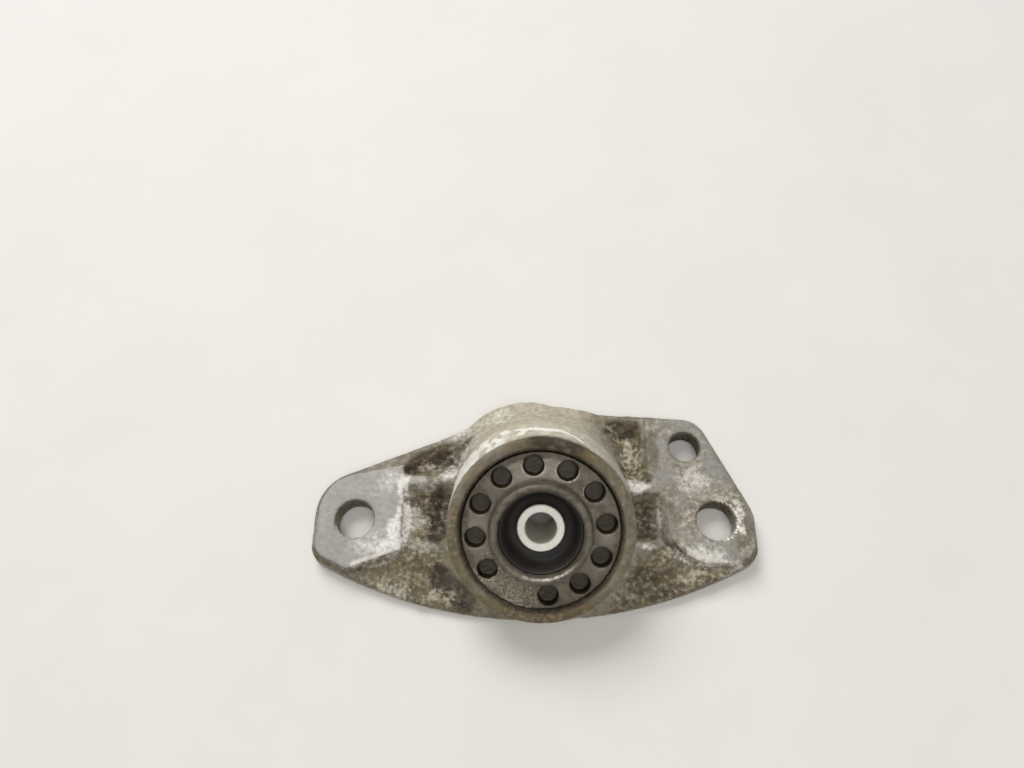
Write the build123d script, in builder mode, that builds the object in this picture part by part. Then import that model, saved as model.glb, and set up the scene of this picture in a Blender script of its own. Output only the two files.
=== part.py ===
from build123d import *
import os
from math import cos, radians, sin, tan

# Upper mount bracket of a rear shock absorber, in millimetres.
# A light-alloy casting is bolted under the body by two end lugs and a third hole.
# Its round cup leans from the flange and holds a rubber bush with a steel sleeve,
# closed by a pressed-in ring with a collar and a circle of blind pockets.
# Frame: the mounting face is z = 0 with the cup above it, X runs through the holes of
# the two end lugs, and the origin is midway between them.
os.makedirs("parts", exist_ok=True)

# Cup: its axis crosses the mounting face beside the origin, and depths are measured
# along that axis, down from the plane of the rim
cup_offset = 2.25
cup_rise = 8.0
cup_tilt = 30.0
rim_distance = 37.6
rim_diameter = 61.0
rim_rounding = 1.6
cup_draft = 2.5
flare_start = 37.0
flare_drop = 10.0
flare_spread = 5.5

# Stepped cavity of the cup and the opening behind it
ring_bore = 52.0
ring_seat_depth = 8.0
bush_bore = 50.0
cavity_depth = 18.5
back_bore = 35.0
mouth_chamfer = 0.6

# Casting cores in the thick upper side of the cup, open to the mounting face
core_width = 6.0
core_wall = 3.5
core_floor = 4.0
core_line = 4.0
core_corner = 1.2
core_ribs = 4
core_rib_width = 3.0

# Bolt holes
bolt_spacing = 126.7
bolt_diameter = 13.5
third_inset = 8.9
third_rise = 27.5
third_diameter = 11.0
hole_chamfer = 0.5

# Flange outline, seen along its normal
left_wall = 8.5
right_wall = 7.7
left_shoulder_rise = 13.5
left_shoulder_radius = 16.0
left_top_slope = 21.9
corner_offset = 5.9
corner_rise = 11.7
corner_radius = 10.2
right_top_slope = 3.6
right_edge_lean = 26.0
right_elbow_radius = 16.0
belly_reach = 33.2
belly_offset = 0.75
belly_radius = 161.0
toe_radius = 7.0
boss_offset = 3.75
boss_rise = 44.5
boss_radius = 27.0
waist_radius = 10.0

# Heights above the mounting face
plate_height = 7.5
pad_height = 9.0
web_height = 3.5
toe_height = 2.6
flank_line = 7.5
side_draft = 4.0
plate_chamfer = 0.9

# Lug pads
pad_reach = 17.4
pad_inset = 1.8
pad_chamfer = 0.6
pad_foot_drop = 11.0
left_foot_slope = 20.0
left_brow_rise = 21.0
left_brow_slope = 12.0
right_band = 5.6
right_crease_drop = 3.5
right_foot_run = 12.0
right_foot_dip = 4.2

# Pockets between the pads and the cup
edge_rib = 2.6
pocket_draft = 32.0
pocket_gap = 2.5
mound_run = 10.4
mound_end = 1.0

# Gusset ribs from the pads to the cup
left_rib_line = 14.1
right_rib_line = 11.2
rib_top_width = 2.4
rib_draft = 38.0
rib_rise = 5.0

# Closing ring
ring_recess = 1.2
ring_gap = 0.4
ring_land = 3.0
collar_opening = 27.4
collar_diameter = 32.6
collar_rise = 5.8
collar_chamfer = 0.8
pocket_count = 12
pocket_diameter = 6.8
pocket_circle = 42.4
pocket_depth = 4.2
pocket_phase = 6.2

# Inner sleeve
rod_bore = 10.2
sleeve_diameter = 15.6
sleeve_front = 4.6
sleeve_length = 25.0
sleeve_chamfer = 0.3
thrust_diameter = 33.0
thrust_thickness = 2.5
thrust_cover = 4.0

# Rubber bush
lip_rise = 2.2
lip_width = 0.9
funnel_drop = 2.6
neck_diameter = 22.0
neck_length = 8.0
neck_flare = 4.0

rim_radius = rim_diameter / 2
bolt_reach = bolt_spacing / 2
tilt = radians(cup_tilt)
cup_foot = (cup_offset, cup_rise, 0)
mouth_direction = (0, -sin(tilt), cos(tilt))
cup_axis = Axis(cup_foot, mouth_direction)
cup_plane = Plane(origin=cup_foot, x_dir=(1, 0, 0), z_dir=mouth_direction)
section = Plane(origin=cup_foot, x_dir=(1, 0, 0), z_dir=(0, -cos(tilt), -sin(tilt)))


def below_rim(depth):
    """Height along the cup axis of a level that lies a given depth below the rim."""
    return rim_distance - depth


def corner_near(sketch, x, y):
    """The corner of a sketch that lies closest to a point of its own plane."""
    return sketch.vertices().sort_by_distance((x, y, 0))[0]


# Outline of the flange: straight edges about the holes, cut off by a wide arc below,
# with a round boss where the foot of the cup reaches over the upper edge
left_end = -bolt_reach - bolt_diameter / 2 - left_wall
right_end = bolt_reach + bolt_diameter / 2 + right_wall
third_x = bolt_reach - third_inset
corner_x = third_x + corner_offset
corner_y = third_rise + corner_rise
elbow_y = corner_y - (right_end - corner_x) / tan(radians(right_edge_lean))
with BuildSketch() as outline:
    with BuildLine():
        Polyline(
            (left_end, -2 * belly_reach),
            (right_end, -2 * belly_reach),
            (right_end, elbow_y),
            (corner_x, corner_y),
            (boss_offset, corner_y + (corner_x - boss_offset) * tan(radians(right_top_slope))),
            (-boss_offset, left_shoulder_rise - (left_end + boss_offset) * tan(radians(left_top_slope))),
            (left_end, left_shoulder_rise),
            close=True,
        )
    make_face()
    with Locations((-belly_offset, belly_radius - belly_reach)):
        Circle(belly_radius, mode=Mode.INTERSECT)
    with Locations((-boss_offset, boss_rise - boss_radius)):
        Circle(boss_radius)
    fillet(corner_near(outline, left_end, left_shoulder_rise), left_shoulder_radius)
    fillet(corner_near(outline, corner_x, corner_y), corner_radius)
    fillet(corner_near(outline, right_end, elbow_y), right_elbow_radius)
    fillet(corner_near(outline, left_end, -belly_reach), toe_radius)
    fillet(corner_near(outline, right_end, -belly_reach), toe_radius)
    fillet(corner_near(outline, -boss_offset - boss_radius, boss_rise - boss_radius / 2), waist_radius)

# Room for the foot of the cup: the outline above, and all that the rim hangs over below
with BuildSketch() as cup_room:
    add(outline.sketch)
    with Locations((cup_offset, cup_rise - rim_distance)):
        Rectangle(3 * rim_diameter, 2 * rim_distance)

# The outline drawn in by the low step that runs round the pads
with BuildSketch() as pad_room:
    add(outline.sketch)
    offset(amount=-pad_inset, mode=Mode.REPLACE)

left_pad_edge = pad_reach - bolt_reach
right_pad_edge = bolt_reach - pad_reach
left_run = left_pad_edge - left_end
with BuildSketch() as left_pad:
    add(pad_room.sketch)
    with BuildLine():
        Polyline(
            (left_pad_edge, left_brow_rise),
            (left_end, left_brow_rise - left_run * tan(radians(left_brow_slope))),
            (left_end, -pad_foot_drop - left_run * tan(radians(left_foot_slope))),
            (left_pad_edge, -pad_foot_drop),
            close=True,
        )
    make_face(mode=Mode.INTERSECT)

with BuildSketch() as right_pad:
    add(pad_room.sketch)
    with BuildLine():
        Polyline(
            (right_pad_edge - right_band, boss_rise),
            (right_pad_edge - right_band, right_rib_line),
            (right_pad_edge, right_rib_line),
            (right_pad_edge, -right_crease_drop),
            (right_pad_edge + right_foot_run / 3, -pad_foot_drop),
            (right_pad_edge + right_foot_run, -pad_foot_drop - right_foot_dip),
            (right_end, -pad_foot_drop - right_foot_dip),
            (right_end, boss_rise),
            close=True,
        )
    make_face(mode=Mode.INTERSECT)

# Floor of the pockets on both sides of the cup, which the cup and the ribs divide
wall_run = (plate_height - web_height) * tan(radians(pocket_draft))
band_run = (pad_height - web_height) * tan(radians(pocket_draft))
with BuildSketch(Plane.XY.offset(web_height)) as pocket_floor:
    add(outline.sketch)
    offset(amount=-edge_rib - wall_run, mode=Mode.REPLACE)
    with BuildLine():
        Polyline(
            (left_pad_edge + pocket_gap, wall_run - flank_line),
            (right_pad_edge - pocket_gap - wall_run, wall_run - flank_line),
            (right_pad_edge - pocket_gap - wall_run, right_rib_line),
            (right_pad_edge - right_band - band_run, right_rib_line),
            (right_pad_edge - right_band - band_run, boss_rise),
            (left_pad_edge + pocket_gap, boss_rise),
            close=True,
        )
    make_face(mode=Mode.INTERSECT)

# Body of the cup: a cone with a rounded rim whose foot flares out to the flange
rim_break = 0.3 * rim_rounding
flare_radius = rim_radius + flare_start * tan(radians(cup_draft))
foot_radius = flare_radius + flare_spread
with BuildPart() as cup:
    with BuildSketch(section):
        with BuildLine():
            Polyline(
                (0, -rim_distance),
                (0, rim_distance),
                (rim_radius - rim_rounding, rim_distance),
                (rim_radius - rim_break, rim_distance - rim_break),
                (rim_radius, rim_distance - rim_rounding),
                (flare_radius, below_rim(flare_start)),
                (flare_radius + flare_spread / 3, below_rim(flare_start + flare_drop * 0.6)),
                (foot_radius, below_rim(flare_start + flare_drop)),
                (foot_radius, -rim_distance),
                close=True,
            )
        make_face()
    revolve(axis=cup_axis)
    add(cup_room.sketch)
    extrude(amount=rim_distance + rim_diameter, mode=Mode.INTERSECT)

with BuildPart() as housing:
    # Flange plate, sloping off along its lower flank to a thin toe
    add(outline.sketch)
    extrude(amount=plate_height, taper=side_draft)
    chamfer(housing.edges().group_by(Axis.Z)[-1], plate_chamfer)
    with BuildSketch(Plane.YZ):
        with BuildLine():
            Polyline(
                (-flank_line, plate_height),
                (-belly_reach, toe_height),
                (-2 * belly_reach, toe_height),
                (-2 * belly_reach, plate_height),
                close=True,
            )
        make_face()
    extrude(amount=2 * (right_end - left_end), both=True, mode=Mode.SUBTRACT)

    # Lug pads
    add(left_pad.sketch)
    add(right_pad.sketch)
    extrude(amount=pad_height)
    chamfer(housing.faces().filter_by(Axis.Z).group_by(Axis.Z)[-1].edges(), pad_chamfer)

    # Pockets
    add(pocket_floor.sketch)
    extrude(amount=pad_height, taper=-pocket_draft, mode=Mode.SUBTRACT)

    # Mound in the lower left pocket, falling from the pad to a slot beside the cup
    with BuildSketch(Plane.XZ.offset(flank_line)):
        with BuildLine():
            Polyline(
                (left_pad_edge, web_height / 2),
                (left_pad_edge, plate_height),
                (left_pad_edge + mound_run, web_height + mound_end),
                (left_pad_edge + mound_run, web_height / 2),
                close=True,
            )
        make_face()
    extrude(amount=-flank_line - left_rib_line)

    # Gusset ribs, rising from the pads to the cup
    for pad_end, cup_end, rib_line in (
        (left_pad_edge - pocket_gap, cup_offset - rim_radius / 2, left_rib_line),
        (right_pad_edge, cup_offset + rim_radius / 2, right_rib_line),
    ):
        for rib_x, rib_height in ((pad_end, pad_height), (cup_end, pad_height + rib_rise)):
            with BuildSketch(Plane.YZ.offset(rib_x)):
                rib_foot = rib_top_width / 2 + rib_height * tan(radians(rib_draft))
                with BuildLine():
                    Polyline(
                        (rib_line - rib_foot, 0),
                        (rib_line - rib_top_width / 2, rib_height),
                        (rib_line + rib_top_width / 2, rib_height),
                        (rib_line + rib_foot, 0),
                        close=True,
                    )
                make_face()
        loft()

    add(cup.part)

    # Cavity for the ring and the bush, and the opening behind them
    with BuildSketch(section):
        with BuildLine():
            Polyline(
                (0, -rim_distance),
                (0, rim_distance + mouth_chamfer),
                (ring_bore / 2 + 2 * mouth_chamfer, rim_distance + mouth_chamfer),
                (ring_bore / 2, below_rim(mouth_chamfer)),
                (ring_bore / 2, below_rim(ring_seat_depth)),
                (bush_bore / 2, below_rim(ring_seat_depth)),
                (bush_bore / 2, below_rim(cavity_depth)),
                (back_bore / 2, below_rim(cavity_depth)),
                (back_bore / 2, -rim_distance),
                close=True,
            )
        make_face()
    revolve(axis=cup_axis, mode=Mode.SUBTRACT)

    # Cores in the back
    core_inner = back_bore / 2 + core_wall
    rib_pitch = 180 / (core_ribs + 1)
    with BuildSketch(cup_plane.offset(below_rim(cavity_depth + core_floor))) as cores:
        Circle(core_inner + core_width)
        Circle(core_inner, mode=Mode.SUBTRACT)
        with Locations((0, core_line - rim_radius)):
            Rectangle(rim_diameter, rim_diameter, mode=Mode.SUBTRACT)
        with PolarLocations(core_inner, core_ribs, rib_pitch, rib_pitch * core_ribs):
            Rectangle(3 * core_width, core_rib_width, mode=Mode.SUBTRACT)
        fillet(cores.vertices(), core_corner)
    extrude(amount=-2 * rim_distance, mode=Mode.SUBTRACT)

    # Bolt holes
    with Locations((-bolt_reach, 0, pad_height), (bolt_reach, 0, pad_height)):
        Hole(bolt_diameter / 2)
    chamfer(housing.edges(Select.LAST).filter_by(GeomType.CIRCLE), hole_chamfer)
    with Locations((third_x, third_rise, pad_height)):
        Hole(third_diameter / 2)
    chamfer(housing.edges(Select.LAST).filter_by(GeomType.CIRCLE), hole_chamfer)

housing.part.label = "housing"
export_step(housing.part, "parts/housing.step")

# Closing ring: pressed in by its rear land, clear of the bore at its front,
# with a collar about the opening and blind pockets round it
ring_front = below_rim(ring_recess)
ring_back = below_rim(ring_seat_depth)
with BuildPart() as closing_ring:
    with BuildSketch(section):
        with BuildLine():
            Polyline(
                (collar_opening / 2, ring_back),
                (collar_opening / 2, ring_front + collar_rise),
                (collar_diameter / 2, ring_front + collar_rise),
                (collar_diameter / 2, ring_front),
                (ring_bore / 2 - ring_gap, ring_front),
                (ring_bore / 2 - ring_gap, ring_back + ring_land + ring_gap),
                (ring_bore / 2, ring_back + ring_land),
                (ring_bore / 2, ring_back),
                close=True,
            )
        make_face()
    revolve(axis=cup_axis)
    collar_edges = closing_ring.edges().filter_by(GeomType.CIRCLE).group_by(cup_axis)[-1]
    chamfer(collar_edges, collar_chamfer)
    with BuildSketch(cup_plane.offset(ring_front)):
        with PolarLocations(pocket_circle / 2, pocket_count, start_angle=pocket_phase):
            Circle(pocket_diameter / 2)
    extrude(amount=-pocket_depth, mode=Mode.SUBTRACT)

closing_ring.part.label = "closing_ring"
export_step(closing_ring.part, "parts/closing_ring.step")

# Inner sleeve: a turned tube with a thrust flange that the rubber is moulded round
sleeve_end = below_rim(sleeve_front)
sleeve_back = sleeve_end - sleeve_length
thrust_front = ring_back - thrust_cover
thrust_back = thrust_front - thrust_thickness
with BuildPart() as inner_sleeve:
    with BuildSketch(section):
        with BuildLine():
            Polyline(
                (rod_bore / 2, sleeve_back),
                (sleeve_diameter / 2, sleeve_back),
                (sleeve_diameter / 2, thrust_back),
                (thrust_diameter / 2, thrust_back),
                (thrust_diameter / 2, thrust_front),
                (sleeve_diameter / 2, thrust_front),
                (sleeve_diameter / 2, sleeve_end),
                (rod_bore / 2, sleeve_end),
                close=True,
            )
        make_face()
    revolve(axis=cup_axis)
    chamfer(inner_sleeve.edges().filter_by(GeomType.CIRCLE).group_by(cup_axis)[-1], sleeve_chamfer)

inner_sleeve.part.label = "inner_sleeve"
export_step(inner_sleeve.part, "parts/inner_sleeve.step")

# Rubber bush: bonded to the sleeve and its flange, filling the cavity behind the ring,
# with a funnel that lines the collar opening and a neck that runs out at the back
cavity_floor = below_rim(cavity_depth)
lip_top = ring_front + lip_rise
funnel_foot = sleeve_end - funnel_drop
neck_end = cavity_floor - neck_length
with BuildPart() as rubber_bush:
    with BuildSketch(section):
        with BuildLine():
            Polyline(
                (sleeve_diameter / 2, funnel_foot),
                (sleeve_diameter / 2, thrust_front),
                (thrust_diameter / 2, thrust_front),
                (thrust_diameter / 2, thrust_back),
                (sleeve_diameter / 2, thrust_back),
                (sleeve_diameter / 2, neck_end),
                (neck_diameter / 2, neck_end),
            )
            Polyline(
                (neck_diameter / 2, neck_end),
                (neck_diameter / 2, cavity_floor - neck_flare),
                (back_bore / 2, cavity_floor),
                (bush_bore / 2, cavity_floor),
                (bush_bore / 2, ring_back),
                (collar_opening / 2, ring_back),
                (collar_opening / 2, lip_top),
                (collar_opening / 2 - lip_width, lip_top),
            )
            Polyline(
                (collar_opening / 2 - lip_width, lip_top),
                (collar_opening / 2 - 2 * lip_width, sleeve_end),
                (sleeve_diameter / 2 + funnel_drop, funnel_foot + funnel_drop / 4),
                (sleeve_diameter / 2, funnel_foot),
            )
        make_face()
    revolve(axis=cup_axis)

rubber_bush.part.label = "rubber_bush"
export_step(rubber_bush.part, "parts/rubber_bush.step")
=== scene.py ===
# %% [markdown]
# # The upper mount of a rear shock absorber
# The object is a light-alloy casting that is bolted under the body of a vehicle. Its cup
# leans away from the flange and holds a rubber bush, which carries the end of the damper
# rod. This lesson loads the solids of the mount, gives them the soft edges and the grain
# that a casting has, and paints the oxide and the road dirt of a used part, together with
# some painted shade in hollows and painted light on edges and upper sides.

# %% Load the solids
import math
import bpy
import numpy as np
from mathutils import Matrix, Vector


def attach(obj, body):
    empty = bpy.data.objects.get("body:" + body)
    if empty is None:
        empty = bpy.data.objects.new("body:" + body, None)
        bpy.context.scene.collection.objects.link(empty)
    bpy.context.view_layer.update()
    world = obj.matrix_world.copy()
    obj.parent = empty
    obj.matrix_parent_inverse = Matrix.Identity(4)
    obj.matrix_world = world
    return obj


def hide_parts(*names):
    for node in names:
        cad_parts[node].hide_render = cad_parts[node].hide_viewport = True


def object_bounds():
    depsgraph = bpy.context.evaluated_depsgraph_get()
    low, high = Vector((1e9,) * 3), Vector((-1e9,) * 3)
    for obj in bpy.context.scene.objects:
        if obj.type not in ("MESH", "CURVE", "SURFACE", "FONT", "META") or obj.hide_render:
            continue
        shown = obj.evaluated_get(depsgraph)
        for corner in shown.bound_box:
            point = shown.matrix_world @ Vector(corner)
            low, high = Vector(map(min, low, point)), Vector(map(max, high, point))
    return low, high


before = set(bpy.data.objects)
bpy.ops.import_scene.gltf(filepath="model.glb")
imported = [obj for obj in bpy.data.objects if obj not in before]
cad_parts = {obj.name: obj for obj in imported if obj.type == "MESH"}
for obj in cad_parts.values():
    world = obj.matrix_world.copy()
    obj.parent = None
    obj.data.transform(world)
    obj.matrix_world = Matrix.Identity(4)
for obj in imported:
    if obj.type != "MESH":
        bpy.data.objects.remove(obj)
cad_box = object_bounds()
MM = 0.001
print("solids:", sorted(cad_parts))

# %% [markdown]
# ## The camera
# A photograph fixes six numbers for its camera: three for where it stood and three for how
# it was turned. They are given here, in millimetres, in the frame of the solids, where the
# mounting face is z = 0. The lens is written as the focal length in pixels of a 1024 pixel
# wide picture, turned into the millimetres of a 36 mm sensor.

# %% Camera
scene = bpy.context.scene
scene.view_settings.view_transform = "Standard"
PICTURE_WIDTH = 1024
FOCAL_PIXELS = 800
SENSOR = 36.0
CAMERA_PLACE = np.array([1.05, -77.8, 282.2])
CAMERA_RIGHT = np.array([0.9995, 0.0135, -0.0284])
CAMERA_AHEAD = np.array([-0.0314, 0.4303, -0.9021])

camera_data = bpy.data.cameras.new("camera")
camera_data.sensor_width = SENSOR
camera_data.lens = SENSOR * FOCAL_PIXELS / PICTURE_WIDTH
camera_data.clip_start = 0.01
camera = bpy.data.objects.new("camera", camera_data)
ahead = CAMERA_AHEAD / np.linalg.norm(CAMERA_AHEAD)
right = CAMERA_RIGHT - ahead * (CAMERA_RIGHT @ ahead)
right /= np.linalg.norm(right)
turn = np.eye(4)
turn[:3, 0], turn[:3, 1], turn[:3, 2] = right, np.cross(right, ahead), -ahead
turn[:3, 3] = CAMERA_PLACE * MM
camera.matrix_world = Matrix(turn.tolist())
scene.collection.objects.link(camera)
scene.camera = camera
print("lens", round(camera_data.lens, 2), "mm")

# %% [markdown]
# ## Colours and nodes
# Colours are written as the hex values that a screen shows. Blender mixes light in linear
# values, so one function turns the first into the second. One more function adds a shader
# node: its settings are keywords, and an input takes a value, a hex colour or the output of
# another node.

# %% Colour and node helpers
def linear(hex_code):
    """Each channel s of an sRGB colour becomes ((s + 0.055) / 1.055) ** 2.4, or s / 12.92 near
    black."""
    channels = [int(hex_code[i : i + 2], 16) / 255 for i in (1, 3, 5)]
    return [c / 12.92 if c <= 0.04045 else ((c + 0.055) / 1.055) ** 2.4 for c in channels] + [1]


def add_node(tree, kind, inputs=None, output=None, **settings):
    """Adds a node with its settings and fills or links its inputs. It gives back one output:
    the named one, or else the first in use."""
    node = tree.nodes.new(kind)
    for name, value in settings.items():
        setattr(node, name, value)
    for name, value in (inputs or {}).items():
        if isinstance(value, bpy.types.NodeSocket):
            tree.links.new(value, node.inputs[name])
        else:
            node.inputs[name].default_value = linear(value) if isinstance(value, str) else value
    if output:
        return node.outputs[output]
    return next((socket for socket in node.outputs if socket.enabled), None)


def new_material(name):
    """An empty material, its tree, and the place of each point on the object."""
    material = bpy.data.materials.new(name)
    material.use_nodes = True
    material.node_tree.nodes.clear()
    place = add_node(material.node_tree, "ShaderNodeTexCoord", output="Object")
    return material, material.node_tree, place


def dress(piece, material, tree, surface):
    """Ends a tree with its surface shader and gives the material to a piece."""
    shader = add_node(tree, "ShaderNodeBsdfPrincipled", surface)
    add_node(tree, "ShaderNodeOutputMaterial", {"Surface": shader})
    piece.data.materials.clear()
    piece.data.materials.append(material)


def blotches(tree, place, size_mm, low=0.35, high=0.65, detail=3.0):
    """Blotches about size_mm across, from 0 to 1: noise below low is 0 and above high is 1."""
    noise = add_node(
        tree, "ShaderNodeTexNoise",
        {"Vector": place, "Scale": 1 / (size_mm * MM), "Detail": detail, "Roughness": 0.6},
    )
    return add_node(
        tree, "ShaderNodeMapRange", {"Value": noise, "From Min": low, "From Max": high},
    )


print("light grey", [round(c, 3) for c in linear("#b9b3a8")])

# %% [markdown]
# ## Floor and light
# The mount lies on its mounting face on a plain pale floor. The light of the photograph is
# soft and comes from behind the upper edge of the flange, so the face of the cup, which
# leans the other way, stays darker than the flange. One large lamp does that, with a
# weaker one beside the camera and an even sky. The lamps reach only the middle of the
# floor, so further out it is seen to glow like the sky, which leaves a soft, pale horizon.

# %% Floor
FLOOR_SIZE = 6.0
FLOOR_GAP = 0.0001
FADE_FROM, FADE_TO = 0.3, 1.3
SKY, SKY_LIGHT, SKY_SEEN = "#f2f1ef", 0.34, 0.85


def looked_at(tree):
    """1 for a ray that looks, straight, in a reflection or through glass, and 0 for one that
    lights."""
    seen = 0.0
    for way in ("Is Camera Ray", "Is Glossy Ray", "Is Transmission Ray"):
        ray = add_node(tree, "ShaderNodeLightPath", output=way)
        seen = add_node(tree, "ShaderNodeMath", {0: seen, 1: ray}, operation="MAXIMUM")
    return seen


# Matt painted board: an even pale tone with no highlight, which only carries the shadow
material, tree, place = new_material("matt_painted_board")
tone = add_node(
    tree, "ShaderNodeMix",
    {"Factor": blotches(tree, place, 60), "A": "#e9e6e1", "B": "#ece9e4"}, data_type="RGBA",
)
away = add_node(
    tree, "ShaderNodeVectorMath", {0: place}, output="Value", operation="LENGTH",
)
fade = add_node(
    tree, "ShaderNodeMapRange", {"Value": away, "From Min": FADE_FROM, "From Max": FADE_TO},
)
faded = add_node(tree, "ShaderNodeMath", {0: fade, 1: looked_at(tree)}, operation="MULTIPLY")
glow = add_node(tree, "ShaderNodeMath", {0: faded, 1: SKY_SEEN}, operation="MULTIPLY")
tone = add_node(
    tree, "ShaderNodeMix", {"Factor": faded, "A": tone, "B": "#000000"}, data_type="RGBA",
)
half = FLOOR_SIZE / 2
floor_mesh = bpy.data.meshes.new("floor")
floor_mesh.from_pydata(
    [(side * half, end * half, -FLOOR_GAP) for side, end in ((-1, -1), (1, -1), (1, 1), (-1, 1))],
    [], [(0, 1, 2, 3)],
)
floor = bpy.data.objects.new("floor", floor_mesh)
dress(floor, material, tree, {
    "Base Color": tone, "Roughness": 0.7, "Emission Color": SKY, "Emission Strength": glow,
})
scene.collection.objects.link(floor)
print("the floor is", FLOOR_SIZE, "m wide and fades from", FADE_FROM, "to", FADE_TO, "m away")

# %% Lamps and sky
def lamp(name, toward, distance, size, power):
    """A square lamp on the line from the object towards a direction, turned to face the
    object. Distance and size are in metres and power is in watts."""
    data = bpy.data.lights.new(name, "AREA")
    data.size = size
    data.energy = power
    light = bpy.data.objects.new(name, data)
    direction = Vector(toward).normalized()
    light.location = direction * distance
    light.rotation_mode = "QUATERNION"
    light.rotation_quaternion = direction.to_track_quat("Z", "Y")
    scene.collection.objects.link(light)


lamp("high_window", toward=(-0.30, 0.62, 0.80), distance=1.7, size=0.9, power=17.8)
lamp("room", toward=(0.1, -0.35, 1.0), distance=1.4, size=0.8, power=5.3)
world = bpy.data.worlds.new("even_sky")
scene.world = world
world.use_nodes = True
background = world.node_tree.nodes["Background"]
background.inputs["Color"].default_value = linear(SKY)
# The sky is brighter where it is looked at than where it lights the object
strength = add_node(
    world.node_tree, "ShaderNodeMapRange",
    {"Value": looked_at(world.node_tree), "To Min": SKY_LIGHT, "To Max": SKY_SEEN},
)
world.node_tree.links.new(strength, background.inputs["Strength"])

# %% [markdown]
# ## Places on the object
# Everything round belongs to the axis of the cup, which leans by 30 degrees. For painting
# and for new surfaces it helps to know, for each point, its height along that axis, its
# distance from it and its angle about it.

# %% The axis of the cup
TILT = math.radians(30)
FOOT = np.array([2.25, 8.0, 0.0])
MOUTH = np.array([0.0, -math.sin(TILT), math.cos(TILT)])
ACROSS = np.array([1.0, 0.0, 0.0])
UPWARD = np.cross(MOUTH, ACROSS)
RIM = 37.6


def about_axis(points):
    """Height along the cup's axis, distance from it in mm, and angle about it in degrees."""
    offset = points - FOOT
    height = offset @ MOUTH
    side, up = offset @ ACROSS, offset @ UPWARD
    return height, np.hypot(side, up), np.degrees(np.arctan2(up, side))


def from_axis(height, radius, angle):
    """The point with a given height, distance and angle: the reverse of about_axis."""
    height, radius, angle = np.broadcast_arrays(height, radius, np.radians(angle))
    return (
        FOOT
        + height[..., None] * MOUTH
        + (radius * np.cos(angle))[..., None] * ACROSS
        + (radius * np.sin(angle))[..., None] * UPWARD
    )


print("the middle of the rim is at", np.round(from_axis(RIM, 0, 0), 1))

# %% [markdown]
# ## Soft edges and grain
# The solids have sharp inner corners, but metal poured into a mould has none: each corner
# is rounded by a millimetre or so, and the skin is slightly uneven. So the mesh of the
# casting is copied, rebuilt with even cells and then relaxed, which rounds every corner by
# about one cell and leaves the flat places flat. Numpy noise then moves the skin in and
# out. Real bumps in the mesh, unlike bumps in a material, also show at the outline.

# %% Steps and noise
def rise(value, low, high):
    """0 below low, 1 above high, and the curve 3t^2 - 2t^3 between them."""
    t = np.clip((value - low) / (high - low), 0, 1)
    return t * t * (3 - 2 * t)


def grain(points, size, seed):
    """Value noise from -1 to 1: every corner of a lattice of the given size has a random
    number, and a point takes the mean of the eight about it, weighted by 3t^2 - 2t^3 of its
    place."""
    place = points / size + 1000
    cell = np.floor(place).astype(np.int64)
    part = place - cell
    part = part * part * (3 - 2 * part)
    total = np.zeros(len(points))
    for corner in range(8):
        step = np.array([corner & 1, corner >> 1 & 1, corner >> 2 & 1])
        # Large primes mix the three cell numbers and the seed into one random number
        key = (cell + step) @ np.array([73856093, 19349663, 83492791]) + seed * 97
        key = ((key ^ (key >> 11)) * 668265263) & 0x7FFFFFFF
        key = ((key ^ (key >> 15)) * 374761393) & 0x7FFFFFFF
        weight = np.where(step, part, 1 - part).prod(axis=1)
        total += weight * ((key >> 8) % 4096) / 4095
    return 2 * total - 1


print("half way up a step:", rise(0.5, 0, 1))

# %% Mesh helpers
def relax(points, edges, rounds):
    """Each point moves half way to the mean of its neighbours, round after round."""
    ends = np.concatenate([edges, edges[:, ::-1]])
    count = np.bincount(ends[:, 0], minlength=len(points))
    for _ in range(rounds):
        means = [
            np.bincount(ends[:, 0], points[ends[:, 1], k], len(points)) / count for k in range(3)
        ]
        points = points + 0.5 * (np.stack(means, axis=1) - points)
    return points


def vertex_places(mesh):
    """The places of a mesh's vertices as rows, in mm."""
    values = np.empty(3 * len(mesh.vertices))
    mesh.vertices.foreach_get("co", values)
    return values.reshape(-1, 3) / MM


def vertex_normals(mesh):
    """The normals of a mesh's vertices as rows."""
    values = np.empty(3 * len(mesh.vertices))
    mesh.vertex_normals.foreach_get("vector", values)
    return values.reshape(-1, 3)


def set_places(mesh, points):
    """Writes places in mm into a mesh."""
    mesh.vertices.foreach_set("co", (points * MM).ravel())
    mesh.update()


peak = np.array([[0.0, 0.0, 0.0], [1.0, 1.0, 0.0], [2.0, 0.0, 0.0]])
print("one round moves a peak of 1 to", relax(peak, np.array([[0, 1], [1, 2]]), 1)[1, 1])

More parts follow.
